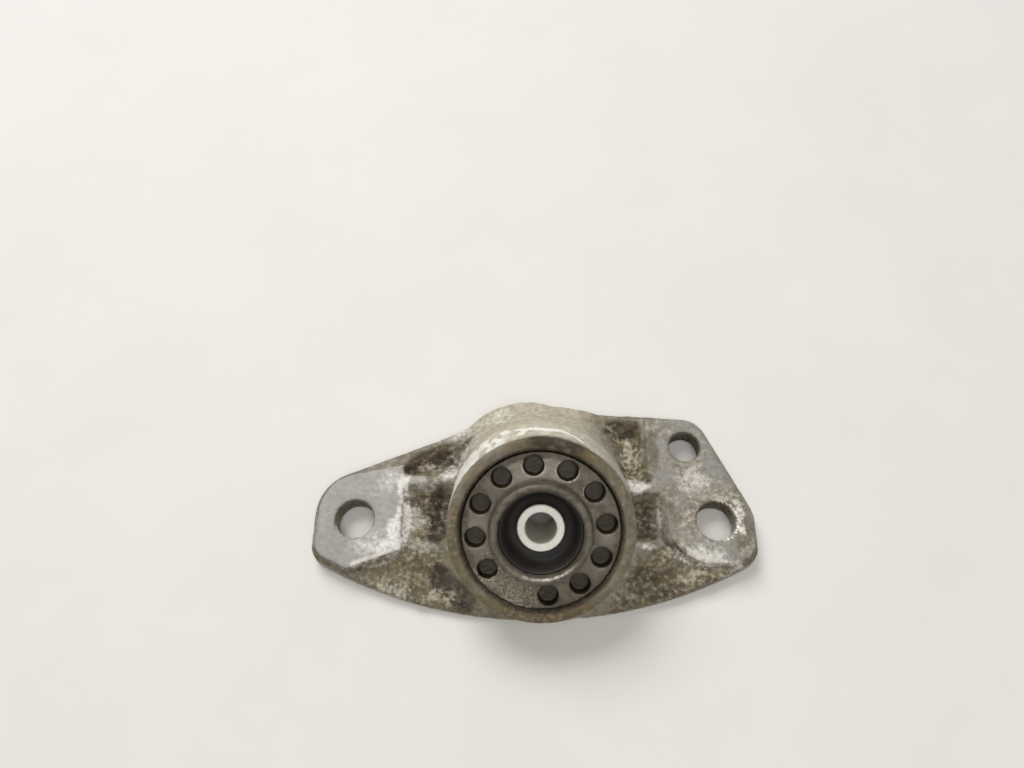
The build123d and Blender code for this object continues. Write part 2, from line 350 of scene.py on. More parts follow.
# %% A relaxed copy of a solid
def rebuilt(node, name, cell_mm, rounds, wide_rounds):
    """A copy of a solid's mesh, joined, rebuilt with even cells and relaxed. Also gives the
    step to a much more relaxed mesh, and how far that step goes outwards: more than 0 in
    hollows and less on edges."""
    piece = bpy.data.objects.new(name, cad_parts[node].data.copy())
    scene.collection.objects.link(piece)
    weld = piece.modifiers.new("weld", "WELD")
    weld.merge_threshold = 0.001 * MM
    remesh = piece.modifiers.new("remesh", "REMESH")
    remesh.mode = "VOXEL"
    remesh.voxel_size = cell_mm * MM
    bpy.context.view_layer.update()
    evaluated = piece.evaluated_get(bpy.context.evaluated_depsgraph_get())
    mesh = bpy.data.meshes.new_from_object(evaluated)
    piece.modifiers.clear()
    piece.data = mesh
    mesh.name = name
    edges = np.empty(2 * len(mesh.edges), dtype=np.int32)
    mesh.edges.foreach_get("vertices", edges)
    edges = edges.reshape(-1, 2)
    soft = relax(vertex_places(mesh), edges, rounds)
    settle = relax(soft, edges, wide_rounds) - soft
    set_places(mesh, soft)
    hollow = (settle * vertex_normals(mesh)).sum(axis=1)
    mesh.polygons.foreach_set("use_smooth", np.ones(len(mesh.polygons), dtype=bool))
    print(name, len(mesh.polygons), "cells, deepest hollow", hollow.max().round(2), "mm")
    return piece, settle, hollow


CELL = 0.68
casting, settle, hollow = rebuilt("housing", "housing_cast", CELL, rounds=3, wide_rounds=16)

# %% [markdown]
# ## The parts of the casting
# One mesh holds the whole casting, but it does not look the same all over: the pads are
# flat, the recesses are rough and the wall of the cup is smooth. Each place gets a mask, a
# number from 0 to 1 on every vertex, which comes from its height, its slope and its
# distance from the axis of the cup. A mask fades over a millimetre or so, as a cast corner
# does, where picked faces would end at a hard line.

# %% Masks
PAD_TOP = 9.0
MOUNTING_EDGE = 0.4
RING_BORE = 26.0
CUP_RADIUS = 31.0
WEB_END = 47

mesh = casting.data
points, normals = vertex_places(mesh), vertex_normals(mesh)
x, y, z = points.T
height, radius, angle = about_axis(points)
front = rise(normals[:, 2], 0.0, 0.4) * rise(z, 1.0, 2.0)
on_cup = rise(radius, RING_BORE - 0.5, RING_BORE + 0.5)
on_cup *= (1 - rise(radius, 34, 37)) * rise(height, 9, 13)
on_rim = rise(height, RIM - 2.2, RIM - 1.0) * rise(radius, RING_BORE - 1, RING_BORE)
wall = rise(radius, 27, 28.5) * (1 - on_rim) * rise(height, 4, 17) * (1 - rise(radius, 36, 41))
pad = rise(z, PAD_TOP - 0.5, PAD_TOP - 0.1) * rise(normals[:, 2], 0.6, 0.9)
pad *= (1 - on_cup) * rise(np.abs(x), 37, 40)
flat = rise(z, PAD_TOP - 0.7, PAD_TOP - 0.2) * rise(normals[:, 2], 0.5, 0.8)
webs = front * (1 - on_cup) * (np.abs(x) < WEB_END)
recess = webs * (1 - rise(z, 5.8, 7.6)) * rise(y, -8.5, -6)
ribs = webs * (1 - pad) * rise(y, 3, 6) * (1 - rise(y, 18, 22))
flank = front * (1 - rise(y, -11, -7)) * (1 - flat) * (1 - on_cup)
print("the pads take", round(100 * pad.mean(), 1), "% of the vertices")

# %% [markdown]
# ## The skin of the casting
# The recesses and the lower flank were left rough by the mould and by corrosion, the pads
# and the rim are nearly smooth, and knocked edges have lost a little metal. Three sizes of
# noise make the lumps, and the masks say how high they are. The bore for the ring and the
# mounting face must fit other parts, so their vertices stay where the solid has them.

# %% Its skin
def spot(places, x, y, reach_x, reach_y, turned=0.0):
    """1 at the middle of an ellipse on the flange, falling to 0 at its edge."""
    c, s = math.cos(math.radians(turned)), math.sin(math.radians(turned))
    dx, dy = places[:, 0] - x, places[:, 1] - y
    return 1 - rise(np.hypot((dx * c + dy * s) / reach_x, (dy * c - dx * s) / reach_y), 0.25, 1)


inside = (radius < RING_BORE + 1) & (height > 8) & (height < RIM - 0.3)
skin = np.where(inside | (z < MOUNTING_EDGE), 0, 1)
outside_cup = rise(z, 6, 8) * rise(radius, CUP_RADIUS, CUP_RADIUS + 1)
soften = skin * rise(hollow, 0.02, 0.10) * np.maximum(recess, outside_cup) * (1 - pad)
rough_mm = 0.04 + 0.30 * recess + 0.22 * flank + 0.18 * ribs - 0.02 * on_rim
lumps = 0.8 * grain(points, 1.6, 1) + 0.9 * grain(points, 3.6, 2) + 0.35 * grain(points, 0.9, 3)
worn = rise(-hollow, 0.05, 0.25) * rise(grain(points, 2.6, 4), 0.0, 0.6) * (1 - on_rim)
outwards = (skin * (rough_mm * lumps - 0.10 * worn))[:, None] * normals
moved = points + soften[:, None] * settle + outwards

# The shoulder of the boss beside the upper left recess is fuller than in the solid
SHOULDER_MM = 0.7
shoulder = spot(points, -22, 36, 15, 11, turned=35)
shoulder *= (1 - rise(height + 0.6 * y, 22, 28)) * rise(normals[:, 1], 0.1, 0.5)
moved += SHOULDER_MM * shoulder[:, None] * np.array([-0.5, 0.86, 0.0])
moved = np.clip(moved, np.array(cad_box[0]) / MM, np.array(cad_box[1]) / MM)
set_places(mesh, moved)
print("the skin moved by up to", np.linalg.norm(moved - points, axis=1).max().round(2), "mm")

# %% [markdown]
# ## Where the dirt, the oxide and the painted light are
# A used part tells where it hung: mud stays in the recesses and along the lower flank,
# white oxide grows out of the metal in crusts and clouds, and edges that were knocked are
# bare. Some of the same amounts also carry painted shade in hollows and painted light on
# edges and on upper sides. Each of these is an amount from 0 to 1 on every vertex, drawn
# with a few soft spots and streaks and with the hollowness of the surface. Noise shifts the
# places first, so that no spot stays round, and the material breaks up its edges.

# %% Spots, streaks and arcs
def spots(places, rows):
    """The sum of spots. Each row is a weight and what spot takes after the places."""
    return sum(weight * spot(places, *row) for weight, *row in rows)


def streak(places, route, width):
    """1 along a line of runs on the flange, falling to 0 at a distance of width."""
    nearest = np.full(len(places), 1e9)
    for start, end in zip(route[:-1], route[1:]):
        start, run = np.array(start), np.array(end) - np.array(start)
        share = np.clip((places[:, :2] - start) @ run / (run @ run), 0, 1)
        nearest = np.minimum(
            nearest, np.hypot(*(places[:, :2] - start - share[:, None] * run).T)
        )
    return 1 - rise(nearest, 0.2 * width, width)


def streaks(places, rows):
    """The sum of streaks. Each row is a weight, a route and a width."""
    return sum(weight * streak(places, route, width) for weight, route, width in rows)


def arc(angle, middle, reach):
    """1 at an angle about the cup's axis, falling to 0 at a given reach on either side, in
    degrees."""
    return 1 - rise(np.abs((angle - middle + 180) % 360 - 180), 0.2 * reach, reach)


print("an arc half way to its end:", arc(np.array([30.0]), 0, 60).round(2))

# %% [markdown]
# ## What the dirt and the painted shade follow
# Cloudy noise makes every coat patchy. Dirt and painted shade gather in corners and in the
# bolt holes, dirt gathers round the rim, and edges are bare where metal was knocked and
# carry painted highlights. The wall of the cup is unrolled like a label, so that marks on
# it can be drawn by their distance round it and their height up it.

# %% Corners, edges, holes and the unrolled wall
END_HOLE = 63.35
THIRD_HOLE = (54.45, 27.5)
THIRD_NARROWER = 1.2
HOLE_WALL = 6.9

drift = np.stack([grain(points, 6, seed) for seed in (31, 32, 33)], axis=1)
places = points + 1.8 * drift
cloud = 0.55 * grain(points, 9, 5) + 0.4 * grain(points, 4, 6)
corner, edge = rise(hollow, 0.04, 0.35), rise(-hollow, 0.05, 0.30)

around = np.radians(angle) * CUP_RADIUS
unrolled = np.stack([around, height], axis=1)
brushed = grain(np.stack([height / 7, around / 1.8, radius / 8], axis=1), 1, 7)
# The outer edge of the rim at the upper left is painted lighter, a painted highlight
outer_left = 0.55 * rise(radius, 26.8, 30.0) * arc(angle, 145, 70)
near_rim = wall * rise(height, 31, 36.5)

from_left, from_right = np.hypot(x + END_HOLE, y), np.hypot(x - END_HOLE, y)
from_third = np.hypot(x - THIRD_HOLE[0], y - THIRD_HOLE[1]) + THIRD_NARROWER
from_hole = np.minimum(np.minimum(from_left, from_right), from_third)
bores = (1 - rise(from_hole, HOLE_WALL, HOLE_WALL + 0.5)) * (z > MOUNTING_EDGE)
print("vertices in the bolt holes:", int((bores > 0.5).sum()))

# %% [markdown]
# ## Film, dust and painted light
# A thin brown film of road dirt lies on nearly everything. On the upper side of the boss
# and on the crest of the flange it is covered by pale dust, and the upper side of the boss
# and the outer edge of the rim at the upper left are painted lighter as painted light. Where
# the dust and the smooth wall hide the sandy skin, its grain shows less.

# %% Amounts of film, dust with painted light, and grain
film = 0.25 + 0.3 * cloud + 0.45 * flank + 0.5 * ribs + 0.35 * recess - 0.25 * pad
film += 0.6 * on_rim * (1 - outer_left) + 0.5 * near_rim
film += wall * (0.05 + 0.12 * arc(angle, 20, 60) + 0.45 * arc(angle, 215, 70) + 0.2 * brushed)
film += 0.4 * streak(places, [(-80, 4), (-62, 24), (-42, 28)], 5) * (1 - pad)
film += 0.7 * spot(places, 41, 25, 5, 13) + 0.35 * rise(y, 34, 39) * rise(x, -10, 20) * (x < 45)
film += pad * (0.45 * (x > 0) + spots(places, [
    (0.35, 47, 2, 4, 12), (0.25, -70, -9, 8, 14), (0.5, 71, 0, 7, 14),
]))

boss = rise(radius, 27, 28.5) * (1 - on_rim) * (1 - rise(radius, 40, 46))
boss *= rise(height + 0.6 * y, 12, 18)
crest = (1 - on_cup) * rise(y, 33, 37) * (1 - rise(np.abs(x + 5), 16, 26))
# The upper side of the boss is painted lighter: pale dust and painted light
upper_side = 0.75 * arc(angle, 115, 75) + 0.35 * arc(angle, 50, 60)
dust_and_light = boss * (0.15 + upper_side - 0.25 * near_rim + 0.2 * cloud)
dust_and_light += 0.7 * crest + 0.5 * spot(places, -23, 31, 11, 8, 35) + 0.3 * on_rim * outer_left

sandy = 0.8 - 0.65 * wall - 0.4 * on_rim - np.where(x < 0, 0.45, 0.2) * pad
sandy -= 0.4 * np.clip(dust_and_light, 0, 1)
print("mean film and dust:", film.mean().round(2), dust_and_light.mean().round(2))

# %% [markdown]
# ## Mud, greasy dirt and painted shade
# Brown mud is caked in the recesses, along the flank and on the back of the flange. The
# darkest lines are greasy dirt and painted shade in the deep corners and creases between the
# cup, the ribs and the pads; the inner edge of the rim and the upper wall of each bolt hole
# get painted shade, and the top of the rim is darker. Each line is a streak along its corner.

# %% Amounts of mud, greasy dirt and painted shade
# Mud, with more of it in the hollow corners as painted shade
grime_and_shade = 0.55 * recess + 0.5 * flank + 0.1 * ribs + 0.25 * corner * front + 0.3 * cloud * (1 - pad)
grime_and_shade += spots(places, [
    (0.1, -59, -18.5, 9, 4, -10), (0.4, -38, -16, 14, 5, -8), (0.05, -36, 10, 7, 5),
    (0.5, 33, 33, 9, 3), (0.5, 38.8, -18.7, 12, 5, 8), (0.3, 62, -21, 12, 4, 20),
    (0.4, 38, 8, 5, 3), (-0.25, -64, -18, 8, 5, -12), (-0.5, -50, -25, 10, 3, -20),
    (-0.35, -41, 0, 5, 6),
])
grime_and_shade += 0.5 * streak(places, [(-49, 20), (-39, 21), (-32, 26)], 5)
# Mud tone on the upper wall of each bolt hole, as painted shade
grime_and_shade += 0.5 * bores * rise(y, -4, 3)
grime_and_shade += on_rim * (
    0.45 - 0.6 * arc(angle, 0, 50) + 0.3 * cloud + 0.4 * arc(angle, 85, 50)
    + 0.35 * arc(angle, 270, 60)
)
grime_and_shade = np.where(z < MOUNTING_EDGE, 0.3 + 0.3 * cloud, grime_and_shade)
grime_and_shade -= 0.5 * pad + 0.2 * outer_left * on_rim + 0.35 * wall * (1 - on_rim)

# Greasy dirt and painted shade along the corners and creases
dark = streaks(places, [
    (1.0, [(-46, 18.5), (-39, 21), (-33, 25)], 4),
    (1.3, [(-33.8, 10), (-32.8, 2), (-33.8, -6)], 4),
    (1.0, [(-45.2, 6.6), (-40, 6), (-36.8, 2.6), (-34.7, -3)], 2.4),
    (1.9, [(-33, -19), (-28, -23), (-24.5, -27)], 6),
    (0.8, [(26, 34), (36, 33.6)], 3),
    (0.9, [(44.6, 4), (44.8, -2.9), (47.3, -7.6), (51, -11)], 1.9),
])
dark += spots(places, [
    (0.2, -62, -18, 7, 3, -10), (0.9, 38.5, 0, 4.5, 6.5), (0.5, 38.8, -18.7, 12, 4.5, 8),
    (0.6, 44, -24, 12, 3, 10), (0.6, 41.6, 13.2, 2, 2),
])
# The corners of the recesses get more painted shade
dark = 0.9 * front * (1 - on_cup) * (dark + 0.5 * corner * recess) * (1 + 0.7 * cloud)
# The top of the rim, and the wall just above it, is darker
rim_top = 1.4 * arc(angle, 80, 26) * (0.9 + 0.6 * cloud)
dark += (on_rim * rise(radius, 26.5, 28) + 0.7 * near_rim) * rim_top
# Painted shade at the inner edge of the rim, beside the ring, and in the corners of the cup
dark += 0.9 * on_rim * (1 - rise(radius, 26.3, 27.6)) + 0.4 * corner * on_cup
# Painted shade on the upper wall of each bolt hole
dark += 0.6 * bores * rise(y, 1, 5) * (1 - rise(z, 6, 9))
print("mean mud and grease:", grime_and_shade.mean().round(2), dark.mean().round(2))

# %% [markdown]
# ## White oxide
# Salt makes aluminium bloom in white crusts. They are thickest along the step below each
# pad, where water stood, thinner in clouds on the pads, and streaked down the wall of the
# cup; on the upper left of the wall the streaks are also painted light, and towards the
# lower left the wall has less of them.

# %% Amount of oxide
chalk = pad * 0.4 * cloud + pad * streaks(places, [
    (2.0, [(-46.5, -2), (-47.5, -8), (-50, -12)], 5.5),
    (0.6, [(-47, 2), (-47, 16)], 3),
])
chalk += pad * spots(places, [
    (0.35, -52, 14, 8, 6), (0.35, -57, -9, 10, 6), (0.5, 57, 15, 10, 7),
    (0.6, 59, -11, 12, 6),
])
chalk += front * streaks(places, [
    (1.3, [(48.5, -11.2), (53.3, -13), (58.2, -15), (69, -15.8)], 3.2),
    (0.9, [(-62, -16.6), (-54, -14.6), (-47, -11.4), (-45.5, -4), (-45.5, 5), (-47, 15)], 2.4),
])
chalk += spots(places, [
    (1.0, 36.4, 12.5, 8, 4.5), (0.55, 40.1, -8.4, 5, 2.5), (0.35, 43.8, 0, 2, 7),
    (0.45, 35, 25, 6, 9), (0.7, -46, 14.6, 3.5, 5), (0.6, -41.5, 0, 5, 7),
    (0.35, -38, 12.6, 6, 3), (0.5, -37, -9.4, 9, 2.5), (0.4, -50, -25, 10, 3, -20),
])
chalk += 0.9 * streak(places, [(-30, 17), (-28, 27)], 5) * (1 - on_cup)
chalk += (1 - wall) * (1 - on_rim) * spots(places, [
    (0.5, -25, 29, 8, 8, 35), (0.45, -14, 38, 10, 4, 15),
])
# Oxide streaks and painted light on the upper left of the wall
streaked = 1.3 * arc(angle, 145, 40) * (0.8 + brushed)
chalk += wall * (0.2 + 0.3 * brushed + streaked - 0.5 * arc(angle, 240, 90))
chalk += 0.5 * bores * (1 - rise(y, -4, 2)) * rise(z, 5, 7)
chalk += 0.9 * streak(places, [(70.6, 6), (72, 2), (71, -4)], 2.0) * (z > 1)
print("mean oxide:", chalk.mean().round(2))

# %% [markdown]
# ## Specks, chips and painted highlights
# Pale salt and sand stick to the mud in specks, least where it is greasy. The bright chips
# lie on the upper wall of the cup, where the skin flaked off, so their routes are given on
# the unrolled wall. The upper edges of the cup are bare where they were knocked and carry a
# painted highlight.

# %% Amounts of specks, chips and painted highlights
speck = 0.3 * recess + 0.25 * flank + 0.1 * ribs + 0.4 * cloud * front * (1 - on_cup)
speck += spots(places, [
    (0.6, -33, -25.5, 9, 4, -15), (0.4, 35, 25, 5, 9), (0.45, 55, -20, 11, 4, 15),
    (0.35, -41, 0, 6, 7), (0.6, -39, 20.5, 8, 4), (0.3, -50, -23, 12, 4, -15),
    (0.35, -41, -9, 8, 3),
])
speck += 0.25 * pad * (x > 0) + on_rim * (0.12 + 0.25 * cloud)
speck *= 1 - 0.45 * np.clip(dark, 0, 1)

# Knocked edges and painted highlights along the upper edge of the cup
wear_and_glint = 0.25 * edge * rise(radius, 29, 30) * on_cup * arc(angle, 100, 80)
wear_and_glint += wall * streaks(unrolled + 0.5 * drift[:, :2], [
    (1.2, [(56.6, 19.5), (53.6, 21.5), (54.9, 27), (55.4, 30)], 2.0),
    (1.2, [(50.6, 21.6), (47.3, 24.6), (42.7, 22.8)], 3.6),
    (1.2, [(50.6, 21.3), (43.0, 22.0)], 1.4),
    (1.2, [(41.1, 23.5), (37.3, 26), (34.9, 29.5)], 1.6),
    (1.2, [(61.5, 14), (60.5, 19)], 2.0),
    (1.2, [(65, 22), (62.5, 29)], 2.0),
    (1.2, [(69, 16), (67.5, 25)], 1.6),
])
wear_and_glint += 0.5 * edge * (from_right < 8.5) * rise(x, 62, 66)


def set_amounts(mesh, amounts):
    """Stores one number per vertex, from 0 to 1, under each name, for a material to read."""
    for name, values in amounts.items():
        layer = mesh.attributes.new(name, "FLOAT", "POINT")
        layer.data.foreach_set("value", np.clip(values, 0, 1).astype(np.float32))
    means = {name: float(np.clip(values, 0, 1).mean()) for name, values in amounts.items()}
    print("mean amounts:", {name: round(mean, 2) for name, mean in means.items()})


set_amounts(mesh, {
    "pad": pad, "film": film, "grime_and_shade": grime_and_shade, "dark": dark, "chalk": chalk, "speck": speck,
    "wear_and_glint": wear_and_glint, "dust_and_light": dust_and_light, "sandy": sandy,
})

# %% [markdown]
# ## Die-cast aluminium
# Cast aluminium that has been outdoors is a dull, slightly warm grey: its oxide skin
# scatters light, so it looks less like metal than a machined face does. The flat pads keep
# a cooler tint and a faint cross-hatch from the tool that faced the mould. Over the metal
# come the film, the dust with painted light, the white oxide, the mud with painted shade,
# the greasy dirt with painted shade, the specks and the chips with painted highlights, in
# that order, so that each covers the ones before it.

# %% One coat over another
def coat(tree, under, tone, amount, pattern, ragged, soft, full):
    """Lays a tone over another, and gives back the new tone and the share of the coat. The
    painted amount a and the pattern p, both from 0 to 1, are joined as
    a * (1 + ragged * (2p - 1)), and the share grows from 0 to full as that goes from
    1/2 - soft to 1/2 + soft."""
    painted = add_node(tree, "ShaderNodeAttribute", output="Fac", attribute_name=amount)
    swing = add_node(
        tree, "ShaderNodeMath", {0: pattern, 1: 2 * ragged, 2: 1 - ragged},
        operation="MULTIPLY_ADD",
    )
    joined = add_node(tree, "ShaderNodeMath", {0: painted, 1: swing}, operation="MULTIPLY")
    share = add_node(
        tree, "ShaderNodeMapRange",
        {"Value": joined, "From Min": 0.5 - soft, "From Max": 0.5 + soft, "To Max": full},
    )
    colour = add_node(
        tree, "ShaderNodeMix", {"Factor": share, "A": under, "B": tone}, data_type="RGBA",
    )
    return colour, share


# Weathered die-cast aluminium: the eye gets a matt grey with broad, weak highlights
material, tree, place = new_material("die_cast_aluminium_weathered")
fine, middle = blotches(tree, place, 0.9), blotches(tree, place, 2.4)
coarse = blotches(tree, place, 4.5, 0.3, 0.7, detail=5.0)
grit = blotches(tree, place, 1.6, 0.34, 0.66, detail=6.0)
tones = {
    name: add_node(
        tree, "ShaderNodeMix", {"Factor": pattern, "A": deep, "B": pale}, data_type="RGBA",
    )
    for name, pattern, deep, pale in (
        ("metal", middle, "#8f897b", "#aba598"),
        ("pad", coarse, "#a19e99", "#bcb8b2"),
        ("film", middle, "#5d543d", "#7e7457"),
        ("dust_and_light", middle, "#aea58f", "#cbc2ae"),
        ("oxide", fine, "#dad5cb", "#f7f4ee"),
        ("mud", middle, "#4c3e29", "#7f6f4e"),
        ("specks", grit, "#958970", "#c8bfab"),
        ("grain", grit, "#b4b0a8", "#ffffff"),
    )
}
print("tones of the casting:", list(tones))

# %% Hatch of the pads
# The real hatch is about half a millimetre wide, less than two pixels, and is drawn wider
HATCH = 0.8
# The lines of a wave texture with a scale of 1 are this far apart
WAVE_PERIOD = 0.314
for lean in (40, -50):
    turned = add_node(
        tree, "ShaderNodeMapping", {"Vector": place, "Rotation": (0, 0, math.radians(lean))},
    )
    lines = add_node(
        tree, "ShaderNodeTexWave",
        {
            "Vector": turned, "Scale": WAVE_PERIOD / (HATCH * MM),
            "Distortion": 3.0, "Detail": 2.0, "Detail Scale": 2.5,
        },
        output="Fac",
    )
    groove = add_node(
        tree, "ShaderNodeMapRange",
        {"Value": lines, "From Min": 0.5, "From Max": 1.0, "To Max": 0.5},
    )
    # The hatch has worn away where the coarse blotches are 0
    groove = add_node(tree, "ShaderNodeMath", {0: groove, 1: coarse}, operation="MULTIPLY")
    tones["pad"] = add_node(
        tree, "ShaderNodeMix", {"Factor": groove, "A": tones["pad"], "B": "#716d66"},
        data_type="RGBA",
    )
print("lines of the hatch are", HATCH, "mm apart")

# %% Coats on the casting
colour, shares = tones["metal"], {}
for amount, tone, pattern, ragged, soft, full in (
    ("pad", tones["pad"], middle, 0.3, 0.15, 1.0),
    ("film", tones["film"], coarse, 0.4, 0.4, 0.85),
    # Pale dust and painted light
    ("dust_and_light", tones["dust_and_light"], coarse, 0.3, 0.4, 0.9),
    ("chalk", tones["oxide"], grit, 0.55, 0.35, 0.92),
    # Mud, with painted shade in the corners and the bolt holes
    ("grime_and_shade", tones["mud"], middle, 0.6, 0.3, 0.85),
    # Greasy dirt and painted shade
    ("dark", "#2f2418", middle, 0.5, 0.4, 0.85),
    ("speck", tones["specks"], grit, 0.9, 0.3, 0.75),
    # Bare chips, and painted highlights on edges
    ("wear_and_glint", "#f3f0e8", fine, 0.75, 0.15, 1.0),
):
    colour, shares[amount] = coat(tree, colour, tone, amount, pattern, ragged, soft, full)
# Every grain of the sandy skin is a little lighter or darker than its neighbour
sandy = add_node(tree, "ShaderNodeAttribute", output="Fac", attribute_name="sandy")
colour = add_node(
    tree, "ShaderNodeMix", {"Factor": sandy, "A": colour, "B": tones["grain"]},
    data_type="RGBA", blend_type="MULTIPLY",
)

relief = add_node(
    tree, "ShaderNodeBump", {"Height": fine, "Distance": 0.10 * MM, "Strength": 0.5},
)
relief = add_node(
    tree, "ShaderNodeBump",
    {"Height": middle, "Distance": 0.20 * MM, "Strength": 0.5, "Normal": relief},
)
# Chips and the painted highlights on edges are shown as bare metal, and mud is the dullest
# of the coats
metallic = add_node(
    tree, "ShaderNodeMath", {0: shares["wear_and_glint"], 1: 0.5, 2: 0.1}, operation="MULTIPLY_ADD",
)
roughness = add_node(
    tree, "ShaderNodeMath", {0: shares["grime_and_shade"], 1: 0.25, 2: 0.6}, operation="MULTIPLY_ADD",
)
dress(
    casting, material, tree,
    {"Base Color": colour, "Metallic": metallic, "Roughness": roughness, "Normal": relief},
)
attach(casting, "root")
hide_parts("housing")
print("coats on the casting:", list(shares))

# %% [markdown]
# ## The closing ring
# The ring is turned from the same kind of alloy and pressed into the cup. It has a collar
# round the opening and a circle of blind pockets. Mud sits on the lower side, where it
# fills one pocket; the pockets, the corners and the gap by the rim are darkened with
# dirt and painted shade, and the metal between the upper pockets is cleaner. Its
# mesh is rebuilt as that of the casting was, with smaller cells for its smaller edges.

# %% Ring
RING_CELL = 0.42
RING_FRONT = 36.4
COLLAR_TOP = 42.2
POCKET_CIRCLE = 21.2
FILLED_POCKET = 246.2
ring, settle, hollow = rebuilt(
    "closing_ring", "ring_pressed", RING_CELL, rounds=2, wide_rounds=14,
)
mesh = ring.data
points, normals = vertex_places(mesh), vertex_normals(mesh)
height, radius, angle = about_axis(points)
depth = RING_FRONT - height
in_pocket = rise(depth, 0.25, 0.9) * (radius > 17.2) * (radius < 25.0)
mud_arc = arc(angle, 238, 48) * rise(radius, 16.8, 18.0)
from_plug = points - from_axis(RING_FRONT, POCKET_CIRCLE, FILLED_POCKET)
from_plug = np.linalg.norm(from_plug - (from_plug @ MOUTH)[:, None] * MOUTH, axis=1)
filled = (from_plug < 3.9) & (depth > 0) & (depth < 4.9)
print("vertices of the filled pocket:", int(filled.sum()))

# %% [markdown]
# ## Mud on the ring
# The crust on the lower side is a sixth of a millimetre thick, so it is built: the front of
# the ring moves outwards there by noise. The filled pocket keeps its wall, and everything
# deeper than the top of the mud is lifted along the axis to a lumpy floor just below the
# front.

# %% Shape of the mud
CRUST_MM = 0.16
lumps = grain(points, 1.3, 23) + 0.5 * grain(points, 0.7, 25)
crust_mm = 0.015 + CRUST_MM * mud_arc * rise(depth, -0.5, -0.1)
raised = np.where(depth < 6, crust_mm, 0) * (lumps + 0.5)
moved = points + raised[:, None] * normals
mud_level = 0.45 + 0.25 * lumps
moved += np.where(filled, np.clip(depth - mud_level, 0, None), 0)[:, None] * MOUTH
set_places(mesh, moved)
print("the mud is lifted by up to", np.linalg.norm(moved - points, axis=1).max().round(2), "mm")

# %% Amounts on the ring
cloud = 0.5 * grain(points, 6, 21) + 0.4 * grain(points, 2.5, 22)
corner, edge = rise(hollow, 0.03, 0.15), rise(-hollow, 0.05, 0.18)
between = rise(radius, 16.6, 17.6) * (1 - rise(radius, 22.5, 24.0))
# A dark film, heavier in the corners and at the outer edge by the rim as painted shade
grime_and_shade = 0.75 + 0.25 * corner + 0.35 * cloud + 0.3 * rise(radius, 23, 25)
grime_and_shade -= between * (
    0.75 * arc(angle, 95, 45) + 0.45 * arc(angle, 185, 30) + 0.3 * arc(angle, 330, 40)
)
crust = mud_arc * (0.65 + 0.8 * cloud) * (1 - in_pocket) + filled
# Greasy dirt and painted shade in the pockets, the corners and the gap by the rim
pocket_dirt_and_shade = in_pocket * (0.95 + 0.4 * cloud) * (1 - 0.9 * filled)
pocket_dirt_and_shade += 0.45 * corner + 0.6 * rise(radius, 25, 25.8)
lower_lip = arc(angle, 280, 60) * (radius < 14.6) * rise(height, COLLAR_TOP - 1.2, COLLAR_TOP - 0.4)
knocked = 0.25 * rise(grain(points, 2.5, 24), 0.2, 0.8)
# Knocked edges, with painted highlights on the lower lip of the collar and round the upper pockets
wear_and_glint = edge * (0.75 * lower_lip + 0.6 * between * arc(angle, 80, 80) + knocked)
set_amounts(mesh, {"grime_and_shade": grime_and_shade, "crust": crust, "dark": pocket_dirt_and_shade, "wear_and_glint": wear_and_glint})

# %% [markdown]
# ## Turned aluminium under dirt
# The ring is the same metal as the casting, but a cutting tool left it smoother, so it is a
# little more metallic and less rough. Most of it lies under a dark film, which keeps that
# gloss. Only the crust of mud is matt.

# %% Material of the ring
# Turned aluminium, dirty: the eye gets dark brown with a soft sheen, painted shade in the
# pockets and a few clean edges with painted highlights
material, tree, place = new_material("turned_aluminium_dirty")
fine, middle, broad = (blotches(tree, place, size) for size in (0.7, 2.0, 6.0))
tones = {
    name: add_node(
        tree, "ShaderNodeMix", {"Factor": pattern, "A": deep, "B": pale}, data_type="RGBA",
    )
    for name, pattern, deep, pale in (
        ("metal", middle, "#746d61", "#90897b"),
        ("film", broad, "#3a3224", "#574e3c"),
        ("grease_and_shade", middle, "#20170c", "#3c2f1b"),
        ("mud", fine, "#6b604c", "#aaa08c"),
    )
}
colour, shares = tones["metal"], {}
for amount, tone, pattern, ragged, soft, full in (
    ("grime_and_shade", tones["film"], middle, 0.4, 0.4, 0.92),
    # Greasy dirt and painted shade
    ("dark", tones["grease_and_shade"], fine, 0.3, 0.3, 0.95),
    ("crust", tones["mud"], fine, 0.8, 0.25, 0.9),
    # Knocked edges and painted highlights
    ("wear_and_glint", "#bdb8af", fine, 0.4, 0.3, 0.9),
):
    colour, shares[amount] = coat(tree, colour, tone, amount, pattern, ragged, soft, full)
relief = add_node(
    tree, "ShaderNodeBump", {"Height": fine, "Distance": 0.06 * MM, "Strength": 0.5},
)
metallic = add_node(
    tree, "ShaderNodeMath", {0: shares["wear_and_glint"], 1: 0.4, 2: 0.25}, operation="MULTIPLY_ADD",
)
roughness = add_node(
    tree, "ShaderNodeMath", {0: shares["crust"], 1: 0.35, 2: 0.48}, operation="MULTIPLY_ADD",
)
dress(
    ring, material, tree,
    {"Base Color": colour, "Metallic": metallic, "Roughness": roughness, "Normal": relief},
)
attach(ring, "root")
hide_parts("closing_ring")
print("coats on the ring:", list(shares))

# %% [markdown]
# ## The rubber bush
# Seen from the mouth, the rubber is a smooth funnel between the collar and the sleeve, and
# from behind it is a short neck. Its section is a closed line of straight runs, where it
# lies against metal, and of curves, where it is free. The whole bush is that line carried
# round the axis of the cup, with a very small wave that keeps it from looking turned.

